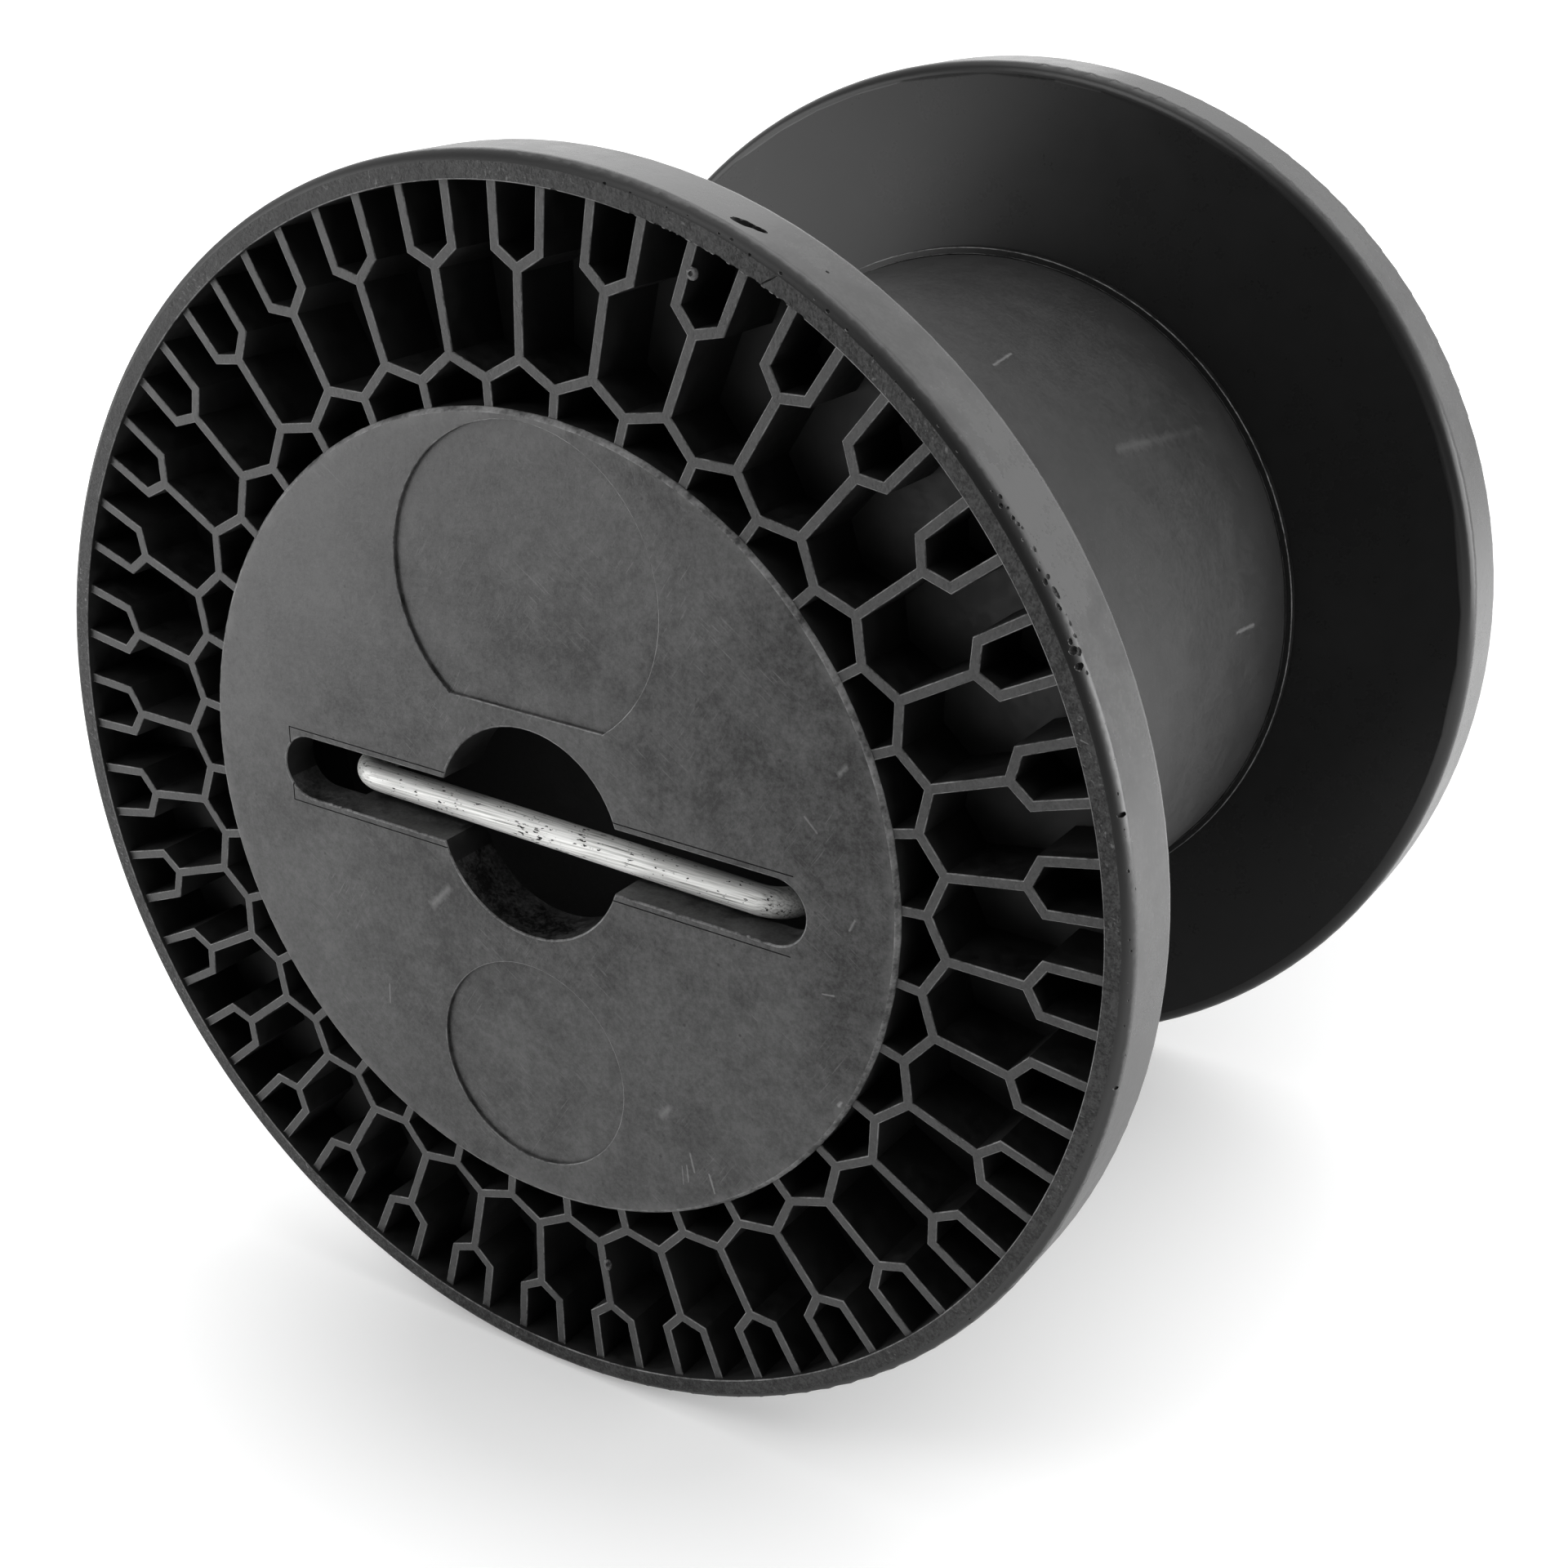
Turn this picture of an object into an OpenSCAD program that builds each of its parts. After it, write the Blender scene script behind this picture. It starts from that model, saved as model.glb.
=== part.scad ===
// Moulded plastic wire reel with honeycomb flanges and a loose steel carry bar.
// The reel lies on its two rims. Its axis runs along Y, and the flange with the bar faces -Y.

/* [Flanges] */
// Outer diameter of both flanges
flange_d = 250; // [225:1:320]
// Thickness of a flange at its rim
flange_t = 18; // [16:0.5:26]
// Width of the flat ring at the rim
rim_w = 5; // [3.5:0.1:8]
// Radius of the rim's edge on the outer side
rim_nose = 2.9; // [1:0.1:4]
// How far the flat ring cuts into that radius
nose_cut = 0.2; // [0.05:0.05:0.4]
// Radius of the rim's edge on the winding side
rim_round = 3; // [1:0.1:5]
// Thickness of the web behind the cells
web_t = 2.2; // [1.5:0.1:4]
// Turn of the reel about its axis as it lies, clockwise from the front, in degrees
lie_angle = 1.15; // [-4:0.05:4]

/* [Honeycomb] */
// Number of cells round the ring
cells = 36; // [24:1:42]
// Thickness of a rib
rib_t = 1.9; // [1.2:0.1:2.6]
// Depth of the rib tops below the rim's face
rib_drop = 1; // [0.8:0.1:2]
// Length of the side walls of the cells at the rim
house_wall = 11; // [7:0.1:13]
// Height of the pointed end of the cells at the rim
house_point = 3.1; // [1.5:0.1:5]
// Length of the short ribs at the hub
short_rib = 4.9; // [3:0.1:7]
// Height of the zigzag ring
zigzag_h = 4; // [2:0.1:6]

/* [Hub] */
// Diameter of the bore
bore_d = 43.5; // [36:0.5:52]
// Thickness of the hub plate
plate_t = 8; // [5:0.5:10]
// Diameter of the thicker boss round the bore
boss_d = 98; // [70:1:104]
// Thickness of the boss
boss_t = 12.3; // [11:0.1:15]
// Thickness of the wall round the hub
hub_wall = 3.5; // [2.5:0.1:5]
// Distance from the barrel's surface in to the hub disc's edge
hub_inset = 0.3; // [0:0.1:2]
// Chamfer on the hub disc's edge
hub_chamfer = 0.7; // [0.2:0.1:0.9]
// Length of the slot for the carry bar
slot_l = 125.5; // [116:0.5:130]
// Width of the slot for the carry bar
slot_w = 13.4; // [12:0.1:18]
// Depth of the two shallow recesses in the hub disc
recess_depth = 0.8; // [0.3:0.1:1.5]
// Diameter of the upper recess
pad_d = 60.8; // [56:0.2:70]
// Distance from the hub disc's edge to the upper recess
pad_margin = 1.7; // [1.2:0.1:4]
// Distance from the bore up to the flat edge of the upper recess
pad_gap = 3.45; // [1:0.05:8]
// Diameter of the lower round recess
roundel_d = 45.2; // [30:0.2:50]
// Distance from the hub disc's edge to the lower recess
roundel_margin = 7.9; // [4:0.1:10]

/* [Barrel] */
// Outer diameter of the barrel
barrel_d = 164; // [160:1:176]
// Wall of the barrel
barrel_wall = 4; // [3:0.1:6]
// Length of the barrel between the flanges
traverse = 168; // [120:1:220]
// Length of the spigot inside the barrel's end
spigot_l = 12; // [6:0.5:20]
// Wall of the spigot
spigot_wall = 3; // [2:0.1:4]
// Width of the collar round the barrel's end
collar_w = 1.6; // [1:0.1:4]
// Height of the collar round the barrel's end
collar_h = 1.8; // [0.8:0.1:4]
// Clearance between the barrel and the flanges' spigots and collars
fit_gap = 0.15; // [0.05:0.05:0.4]

/* [Carry bar] */
// Diameter of the steel rod
bar_d = 6; // [4:0.1:8]
// Length of the slot that the bar leaves free
bar_play = 14.2; // [12:0.1:24]
// Radius of the bends, to the middle of the rod
bend_r = 7; // [6:0.5:9]
// Depth of the rod's top below the hub disc's face
bar_sink = 5.3; // [0:0.1:8]
// Distance of the bar's middle from the slot's middle, to the right
bar_shift = 2; // [-4:0.1:4]
// Slope of the bar in its slot, in degrees
bar_skew = -0.9; // [-2:0.05:0]
// Gap between the right leg and the slot's lower wall, where it rests
rest_gap = 0.3; // [0.1:0.05:0.5]
// Distance that the bar pulls out
bar_travel = 26; // [10:1:40]
// Gap between the feet and the boss when the bar is pulled out
foot_gap = 0.5; // [0.3:0.1:2]
// Clearance between the right foot's end and the spigot
foot_clear = 1.8; // [1:0.1:4]

/* [Hidden] */
$fn = 96;

flange_r = flange_d / 2;
rim_r = flange_r - rim_w;
barrel_r = barrel_d / 2;
hub_r = barrel_r - hub_inset;
hub_wall_r = hub_r - hub_wall;
spigot_r = barrel_r - barrel_wall - fit_gap;
spigot_bore_r = spigot_r - spigot_wall;
collar_bore_r = barrel_r + fit_gap;
collar_r = collar_bore_r + collar_w;
half_w = traverse / 2 + flange_t;
cell_floor = flange_t - web_t;
cell_depth = cell_floor - rib_drop;
pitch = 360 / cells;

// Radii of the rib nodes, counted in from the rim and out from the hub
bend_node_r = rim_r - house_wall;
apex_r = bend_node_r - house_point;
inner_node_r = hub_r + short_rib;
outer_node_r = inner_node_r + zigzag_h;
// How far a cell's outline runs past the rim and the hub before it is trimmed
trim = 3;

// Centres of the two recesses, set in from the hub disc's edge
pad_y = hub_r - pad_margin - pad_d / 2;
pad_flat_y = bore_d / 2 + pad_gap;
roundel_y = roundel_margin + roundel_d / 2 - hub_r;

// Place of the carry bar: its right leg rests on the slot's lower wall
leg_x = (slot_l - bar_play - bar_d) / 2;
bar_x = bar_shift;
bar_y = bar_d / 2 + rest_gap - slot_w / 2 - leg_x * sin(bar_skew);
right_leg_x = bar_x + leg_x * cos(bar_skew);
bar_z = -bar_sink - bar_d / 2;
foot_z = -boss_t - foot_gap - bar_travel - bar_d / 2;
leg_l = bar_z - foot_z - 2 * bend_r;
foot_l = spigot_bore_r - foot_clear - right_leg_x - bend_r;

plastic = [0.13, 0.13, 0.135];
plastic_barrel = [0.17, 0.17, 0.175];
steel = [0.78, 0.78, 0.77];

// Point at a radius and an angle
function polar(r, a) = [r * cos(a), r * sin(a)];

// Line through two points, moved to its left by d, as a point and a direction
function moved_line(p, q, d) =
    let (u = (q - p) / norm(q - p))
    [p + d * [-u[1], u[0]], u];

// Crossing of two lines
function crossing(a, b) =
    let (n = [-b[1][1], b[1][0]])
    a[0] + a[1] * (((b[0] - a[0]) * n) / (a[1] * n));

// Outline moved in by d on every side, for points that run anticlockwise
function inset(pts, d) =
    let (n = len(pts))
    [for (i = [0 : n - 1])
        crossing(
            moved_line(pts[(i + n - 1) % n], pts[i], d),
            moved_line(pts[i], pts[(i + 1) % n], d)
        )
    ];

// Small cell with a pointed end that stands on the rim
function house_cell(a) = inset([
    polar(rim_r + trim, a - pitch / 4),
    polar(rim_r + trim, a + pitch / 4),
    polar(bend_node_r, a + pitch / 4),
    polar(apex_r, a),
    polar(bend_node_r, a - pitch / 4)
], rib_t / 2);

// Long cell between two of the small ones, open to the rim
function long_cell(a) = inset([
    polar(rim_r + trim, a + pitch / 4),
    polar(rim_r + trim, a + pitch * 3 / 4),
    polar(bend_node_r, a + pitch * 3 / 4),
    polar(apex_r, a + pitch),
    polar(outer_node_r, a + pitch),
    polar(inner_node_r, a + pitch / 2),
    polar(outer_node_r, a),
    polar(apex_r, a),
    polar(bend_node_r, a + pitch / 4)
], rib_t / 2);

// Low cell between the zigzag ring and the hub
function hub_cell(a) = inset([
    polar(outer_node_r, a),
    polar(inner_node_r, a + pitch / 2),
    polar(hub_r - trim, a + pitch / 2),
    polar(hub_r - trim, a - pitch / 2),
    polar(inner_node_r, a - pitch / 2)
], rib_t / 2);

// All cells, cut down from the rib tops to the web
module honeycomb() {
    translate([0, 0, -cell_floor])
    linear_extrude(cell_depth + trim)
    difference() {
        intersection() {
            circle(rim_r);
            union() {
                for (i = [0 : cells - 1]) {
                    polygon(house_cell(i * pitch));
                    polygon(long_cell(i * pitch));
                    polygon(hub_cell(i * pitch));
                }
            }
        }
        circle(hub_r);
    }
}

// Turned outline of a flange: rim, web, hub plate with its boss, spigot and collar
module flange_profile() {
    difference() {
        polygon([
            [bore_d / 2, 0],
            [hub_r - hub_chamfer, 0],
            [hub_r, -hub_chamfer],
            [hub_r, -rib_drop],
            [rim_r, -rib_drop],
            [rim_r, 0],
            [flange_r, 0],
            [flange_r, -flange_t],
            [collar_r, -flange_t],
            [collar_r, -flange_t - collar_h],
            [collar_bore_r, -flange_t - collar_h],
            [collar_bore_r, -flange_t],
            [spigot_r, -flange_t],
            [spigot_r, -flange_t - spigot_l],
            [spigot_bore_r, -flange_t - spigot_l],
            [spigot_bore_r, -cell_floor],
            [hub_wall_r, -cell_floor],
            [hub_wall_r, -plate_t],
            [boss_d / 2, -plate_t],
            [boss_d / 2, -boss_t],
            [bore_d / 2, -boss_t]
        ]);
        translate([flange_r - rim_round, rim_round - flange_t])
        difference() {
            translate([0, -2 * rim_round]) square(2 * rim_round);
            circle(rim_round);
        }
        translate([flange_r - rim_nose, nose_cut - rim_nose])
        difference() {
            square(2 * rim_nose);
            circle(rim_nose);
        }
    }
}

// Flange with its outer face at z = 0 and its winding face below
module flange() {
    difference() {
        rotate_extrude() flange_profile();
        honeycomb();
    }
}

// Slot with round ends, cut through the hub plate and the boss
module bar_slot() {
    translate([0, 0, -boss_t - 1])
    linear_extrude(boss_t + 2)
    union() {
        square([slot_l - slot_w, slot_w], center = true);
        for (side = [-1, 1])
            translate([side * (slot_l - slot_w) / 2, 0]) circle(slot_w / 2);
    }
}

// Shallow round recess with one flat side
module pad_recess() {
    translate([0, 0, -recess_depth])
    linear_extrude(recess_depth + 1)
    intersection() {
        translate([0, pad_y]) circle(pad_d / 2);
        translate([-pad_d, pad_flat_y]) square(2 * pad_d);
    }
}

// Shallow round recess below the bore
module roundel_recess() {
    translate([0, roundel_y, -recess_depth])
    cylinder(h = recess_depth + 1, d = roundel_d);
}

// Quarter bend of the rod in the XZ plane, from +X round to -Z
module rod_bend() {
    rotate([90, 0, 0])
    rotate_extrude(angle = 90)
    translate([bend_r, 0]) circle(bar_d / 2);
}

// One leg of the carry bar at +X: bend, leg and a foot turned outward
module bar_leg() {
    translate([leg_x - bend_r, 0, -bend_r]) rod_bend();
    translate([leg_x, 0, -bend_r - leg_l]) cylinder(h = leg_l, d = bar_d);
    translate([leg_x + bend_r, 0, -bend_r - leg_l])
    rotate([0, 180, 0])
    rod_bend();
    translate([leg_x + bend_r, 0, -2 * bend_r - leg_l])
    rotate([0, 90, 0])
    cylinder(h = foot_l, d = bar_d);
}

// From the turning axis along Z to the reel that lies on its rims
module lay_down() {
    translate([0, 0, flange_r]) rotate([90, 0, 0]) rotate([0, 0, -lie_angle]) children();
}

// Front flange, with the slot and the recesses in its hub disc
module front_flange() {
    color(plastic)
    lay_down()
    translate([0, 0, half_w])
    difference() {
        flange();
        bar_slot();
        pad_recess();
        roundel_recess();
    }
}

// Barrel tube between the flanges
module barrel() {
    color(plastic_barrel)
    lay_down()
    translate([0, 0, -traverse / 2])
    difference() {
        cylinder(h = traverse, r = barrel_r);
        translate([0, 0, -1]) cylinder(h = traverse + 2, r = barrel_r - barrel_wall);
    }
}

// Rear flange, with a plain hub disc
module rear_flange() {
    color(plastic)
    lay_down()
    mirror([0, 0, 1])
    translate([0, 0, half_w])
    flange();
}

// Bent steel rod that lies loose in the slot and pulls out as a handle
module carry_bar() {
    color(steel)
    lay_down()
    translate([bar_x, bar_y, half_w + bar_z])
    rotate([0, 0, bar_skew])
    union() {
        translate([bend_r - leg_x, 0, 0])
        rotate([0, 90, 0])
        cylinder(h = 2 * (leg_x - bend_r), d = bar_d);
        bar_leg();
        mirror([1, 0, 0]) bar_leg();
    }
}

front_flange();
barrel();
rear_flange();
carry_bar();
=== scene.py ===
"""Looks of a black moulded wire reel: honeycomb flanges, plain barrel and a loose steel carry bar."""

import logging
import math
import random
from dataclasses import dataclass, field, replace
from enum import Enum, IntEnum
from typing import Any

import bmesh
import bpy
from mathutils import Matrix, Vector


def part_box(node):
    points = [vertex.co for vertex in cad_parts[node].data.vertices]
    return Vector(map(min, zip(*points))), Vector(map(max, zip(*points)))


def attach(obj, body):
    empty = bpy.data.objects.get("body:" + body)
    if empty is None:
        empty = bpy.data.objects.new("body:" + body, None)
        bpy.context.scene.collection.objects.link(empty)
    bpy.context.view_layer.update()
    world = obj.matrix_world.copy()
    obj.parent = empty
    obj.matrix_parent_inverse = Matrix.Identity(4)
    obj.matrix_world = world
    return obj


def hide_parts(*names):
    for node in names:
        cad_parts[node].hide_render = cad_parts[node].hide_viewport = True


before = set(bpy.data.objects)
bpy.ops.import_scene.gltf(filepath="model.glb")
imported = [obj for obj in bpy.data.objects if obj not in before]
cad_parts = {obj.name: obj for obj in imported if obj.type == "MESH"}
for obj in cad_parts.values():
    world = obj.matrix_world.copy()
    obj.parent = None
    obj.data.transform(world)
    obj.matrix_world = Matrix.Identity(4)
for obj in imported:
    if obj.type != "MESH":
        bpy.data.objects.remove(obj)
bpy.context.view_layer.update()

MM = 0.001

Tree = bpy.types.NodeTree
Socket = bpy.types.NodeSocket
Piece = bpy.types.Object

log = logging.getLogger("reel")


# Small helpers


def linear(code: str) -> tuple[float, float, float, float]:
    """Turns an sRGB hex code into a linear colour.

    Args:
        code: Colour as "#rrggbb".

    Returns:
        Red, green, blue and alpha, linear.
    """
    parts = [int(code[i:i + 2], 16) / 255 for i in (1, 3, 5)]
    values = [p / 12.92 if p <= 0.04045 else ((p + 0.055) / 1.055) ** 2.4 for p in parts]
    return (values[0], values[1], values[2], 1.0)


def add_node(tree: Tree, kind: str, inputs: dict[Any, Any] | None = None, give: str = "",
             **settings: Any) -> Socket | None:
    """Adds a node with its settings, values and links.

    Args:
        tree: Node tree that gets the node.
        kind: Blender's name for the node type, without "ShaderNode".
        inputs: Value or output socket for each input, by name or number.
        give: Name of the output that is wanted, or "" for the first one in use.
        settings: Properties of the node.

    Returns:
        That output of the new node, or None where it has none.
    """
    node = tree.nodes.new(f"ShaderNode{kind}")
    for name, value in settings.items():
        setattr(node, name, value)
    for key, value in (inputs or {}).items():
        if isinstance(value, bpy.types.NodeSocket):
            tree.links.new(value, node.inputs[key])
        else:
            node.inputs[key].default_value = value
    if give:
        return node.outputs[give]
    return next((end for end in node.outputs if end.enabled), None)


def empty_tree(name: str) -> tuple[bpy.types.Material, Tree]:
    """Makes a material with an empty node tree.

    Args:
        name: Name of the material.

    Returns:
        The material and its tree.
    """
    material = bpy.data.materials.new(name)
    material.use_nodes = True
    material.node_tree.nodes.clear()
    return material, material.node_tree


def pick_only(piece: Piece) -> None:
    """Makes one object the only selected and active one.

    Args:
        piece: Object to pick.
    """
    bpy.ops.object.select_all(action="DESELECT")
    piece.select_set(True)
    bpy.context.view_layer.objects.active = piece


@dataclass(frozen=True)
class Ramp:
    """A rise from low to high while the value that drives it goes from start to end."""

    start: float
    end: float
    low: float = 0.0
    high: float = 1.0

    def of(self, value: Socket) -> dict[str, Any]:
        """Gives the inputs of a map range node that the value drives."""
        return {"Value": value, "From Min": self.start, "From Max": self.end,
                "To Min": self.low, "To Max": self.high}


# Finishes


@dataclass(frozen=True)
class Layer:
    """One noise of a finish: its patches' size, its share of the pattern and how high it stands."""

    size_mm: float
    share: float
    rise_mm: float = 0.0
    detail: float = 3.0


@dataclass(frozen=True)
class Scratches:
    """Short pale scratches that lie in patches."""

    strength: float
    long_mm: float = 5.0
    wide_mm: float = 0.28
    turns: tuple[float, ...] = (0.6, -1.0, 1.6, -0.3)
    tint: str = "#909090"
    patch_mm: float = 16.0
    patch_rise: tuple[float, float] = (0.5, 0.68)
    line_rise: tuple[float, float] = (0.64, 0.74)
    seed_step: float = 3.7


@dataclass(frozen=True)
class Pits:
    """Small dark pits, about one in each cell of the given size."""

    apart_mm: float
    radius_mm: float
    strength: float = 0.8
    tint: str = "#060606"
    core_share: float = 0.5
    kept_rise: tuple[float, float] = (0.55, 0.75)


@dataclass(frozen=True)
class Mark:
    """One straight scratch between two points, with half its width."""

    start: tuple[float, float, float]
    end: tuple[float, float, float]
    half_mm: float
    strength: float = 0.6


@dataclass(frozen=True)
class RimEdge:
    """A band along a rolling surface, told by the distance from the reel's middle. On the rims it paints
    shade on the rounded front edge and a highlight on the front rim's back edge.

    There is none of it at the start and all of it at the end.
    """

    tint: str
    roughness: float
    start_mm: float
    end_mm: float
    ragged_mm: float = 0.9
    grain_mm: float = 1.4


@dataclass(frozen=True)
class WornBand:
    """A ragged paler band round the axis, toward the edge of a disc."""

    start_mm: float
    end_mm: float
    axis_high_mm: float = 125.0
    tint: str = "#5c5c5c"
    strength: float = 0.8
    patch_mm: float = 6.0
    patch_rise: tuple[float, float] = (0.38, 0.64)


@dataclass
class Coat:
    """The colour and roughness of a plastic while its wear is laid on."""

    tree: Tree
    spot: Socket
    tint: Socket
    rough: Socket

    def lay(self, code: str, mask: Socket) -> None:
        """Lays a colour on, as far as the mask goes."""
        self.tint = add_node(self.tree, "Mix", {
            "Factor": mask, "A": self.tint, "B": linear(code)}, data_type="RGBA")

    def edge(self, edge: RimEdge) -> None:
        """Blends in the colour and roughness of a band along the rim; such a band can be painted shade or
        a painted highlight.

        Args:
            edge: What the band looks like and where it lies.
        """
        along = add_node(self.tree, "SeparateXYZ", {0: self.spot}, give="Y")
        reach = add_node(self.tree, "Math", {0: along}, operation="ABSOLUTE")
        ragged = add_node(self.tree, "TexNoise", {
            "Vector": self.spot, "Scale": 1 / (edge.grain_mm * MM), "Detail": 3.0})
        shift = add_node(self.tree, "Math", {
            0: ragged, 1: edge.ragged_mm * MM, 2: reach}, operation="MULTIPLY_ADD")
        half = edge.ragged_mm / 2
        band = Ramp((edge.start_mm + half) * MM, (edge.end_mm + half) * MM)
        mask = add_node(self.tree, "MapRange", band.of(shift))
        self.lay(edge.tint, mask)
        self.rough = add_node(self.tree, "Mix", {"Factor": mask, "A": self.rough, "B": edge.roughness})

    def rub(self, band: WornBand) -> None:
        """Rubs the colour paler toward the edge of a disc.

        Args:
            band: Where the band lies and what it looks like.
        """
        axis = (0.0, 0.0, band.axis_high_mm * MM)
        flat = add_node(self.tree, "VectorMath", {
            0: self.spot, 1: (1.0, 0.0, 1.0)}, operation="MULTIPLY")
        away = add_node(self.tree, "VectorMath", {0: flat, 1: axis}, operation="DISTANCE")
        ragged = add_node(self.tree, "TexNoise", {
            "Vector": self.spot, "Scale": 1 / (band.patch_mm * MM), "Detail": 4.0})
        broken = add_node(self.tree, "MapRange", Ramp(*band.patch_rise, high=band.strength).of(ragged))
        reach = add_node(self.tree, "MapRange", Ramp(band.start_mm * MM, band.end_mm * MM).of(away))
        self.lay(band.tint, add_node(self.tree, "Math", {0: broken, 1: reach}, operation="MULTIPLY"))

    def scratch(self, scratches: Scratches) -> None:
        """Lays on sets of short pale scratches.

        Args:
            scratches: What the scratches look like.
        """
        along, across = scratches.long_mm * MM, scratches.wide_mm * MM
        for count, turn in enumerate(scratches.turns):
            place = add_node(self.tree, "TexNoise", {
                "Vector": self.spot, "W": scratches.seed_step * count,
                "Scale": 1 / (scratches.patch_mm * MM), "Detail": 2.0}, noise_dimensions="4D")
            patch = add_node(self.tree, "MapRange", Ramp(
                *scratches.patch_rise, high=scratches.strength).of(place))
            turned = add_node(self.tree, "Mapping", {
                "Vector": self.spot, "Rotation": (0.0, turn, 0.0), "Scale": (along, across, across)},
                vector_type="TEXTURE")
            lines = add_node(self.tree, "TexNoise", {"Vector": turned, "Scale": 1.0, "Detail": 1.0})
            cut = add_node(self.tree, "MapRange", Ramp(*scratches.line_rise).of(lines))
            both = add_node(self.tree, "Math", {0: cut, 1: patch}, operation="MULTIPLY")
            self.lay(scratches.tint, both)

    def pit(self, pits: Pits) -> None:
        """Strews dark pits over the colour.

        Args:
            pits: What the pits look like.
        """
        cells = add_node(self.tree, "TexVoronoi", {
            "Vector": self.spot, "Scale": 1 / (pits.apart_mm * MM)}).node
        kept = add_node(self.tree, "MapRange", Ramp(
            *pits.kept_rise, high=pits.strength).of(cells.outputs["Color"]))
        size = pits.radius_mm / pits.apart_mm
        dot = add_node(self.tree, "MapRange", Ramp(
            pits.core_share * size, size, 1.0, 0.0).of(cells.outputs["Distance"]))
        self.lay(pits.tint, add_node(self.tree, "Math", {0: dot, 1: kept}, operation="MULTIPLY"))

    def mark(self, mark: Mark, ragged: Socket, code: str) -> None:
        """Draws one straight scratch between two points.

        Args:
            mark: Ends and width of the scratch.
            ragged: Noise that varies the width.
            code: Colour of the scratch.
        """
        start = Vector(mark.start)
        run = Vector(mark.end) - start
        away = add_node(self.tree, "VectorMath", {0: self.spot, 1: start}, operation="SUBTRACT")
        share = add_node(self.tree, "VectorMath", {
            0: away, 1: run / run.length_squared}, operation="DOT_PRODUCT")
        kept = add_node(self.tree, "Clamp", {"Value": share})
        foot = add_node(self.tree, "VectorMath", {0: run, "Scale": kept}, operation="SCALE")
        gap = add_node(self.tree, "VectorMath", {0: away, 1: foot}, operation="DISTANCE")
        width = add_node(self.tree, "Math", {0: ragged, 1: 2 * mark.half_mm * MM}, operation="MULTIPLY")
        self.lay(code, add_node(self.tree, "MapRange", {
            "Value": gap, "From Min": 0.0, "From Max": width,
            "To Min": mark.strength, "To Max": 0.0}))


@dataclass(frozen=True)
class MouldedPlastic:
    """A finish of black polypropylene as injection moulded and then worn in use.

    Black pigment leaves a weak diffuse colour, so most of what shows is a soft reflection.
    Handling scuffs it paler, in clouds, a fine speckle and short scratches.
    """

    name: str
    dark: str
    light: str
    roughness: tuple[float, float]
    layers: tuple[Layer, ...]
    scratches: Scratches | None = None
    marks: tuple[Mark, ...] = ()
    mark_tint: str = "#a0a0a0"
    mark_grain_mm: float = 1.2
    shine: float = 0.5
    ior: float = 1.49
    scuff_rise: tuple[float, float] = (0.41, 0.59)
    edges: tuple[RimEdge, ...] = ()
    pits: Pits | None = None
    band: WornBand | None = None

    def build(self) -> bpy.types.Material:
        """Builds the finish.

        Returns:
            The material.
        """
        material, tree = empty_tree(self.name)
        spot = add_node(tree, "TexCoord", give="Object")
        pattern, bump = self._pattern(tree, spot)
        scuff = add_node(tree, "MapRange", Ramp(*self.scuff_rise).of(pattern))
        rough = add_node(tree, "MapRange", Ramp(*self.scuff_rise, *self.roughness).of(pattern))
        tint = add_node(tree, "Mix", {
            "Factor": scuff, "A": linear(self.dark), "B": linear(self.light)}, data_type="RGBA")
        coat = Coat(tree, spot, tint, rough)
        if self.scratches is not None:
            coat.scratch(self.scratches)
        if self.pits is not None:
            coat.pit(self.pits)
        if self.band is not None:
            coat.rub(self.band)
        if self.marks:
            ragged = add_node(tree, "TexNoise", {
                "Vector": spot, "Scale": 1 / (self.mark_grain_mm * MM), "Detail": 2.0})
            for mark in self.marks:
                coat.mark(mark, ragged, self.mark_tint)
        for edge in self.edges:
            coat.edge(edge)
        inputs = {"Base Color": coat.tint, "Roughness": coat.rough, "IOR": self.ior,
                  "Specular IOR Level": self.shine}
        if bump is not None:
            inputs["Normal"] = bump
        shader = add_node(tree, "BsdfPrincipled", inputs)
        add_node(tree, "OutputMaterial", {"Surface": shader})
        return material

    def _pattern(self, tree: Tree, spot: Socket) -> tuple[Socket, Socket | None]:
        """Adds up the noises of the finish and stacks their bumps.

        Args:
            tree: Tree of the material.
            spot: Object coordinates.

        Returns:
            The pattern, and the bumped normal where a noise stands up.
        """
        pattern, bump = None, None
        total = sum(layer.share for layer in self.layers)
        for layer in self.layers:
            noise = add_node(tree, "TexNoise", {
                "Vector": spot, "Scale": 1 / (layer.size_mm * MM), "Detail": layer.detail})
            weight = {0: noise, 1: layer.share / total}
            if pattern is None:
                pattern = add_node(tree, "Math", weight, operation="MULTIPLY")
            else:
                pattern = add_node(tree, "Math", {**weight, 2: pattern}, operation="MULTIPLY_ADD")
            if layer.rise_mm > 0:
                height = {"Height": noise, "Distance": layer.rise_mm * MM, "Strength": 1.0}
                if bump is not None:
                    height["Normal"] = bump
                bump = add_node(tree, "Bump", height)
        return pattern, bump


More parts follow.
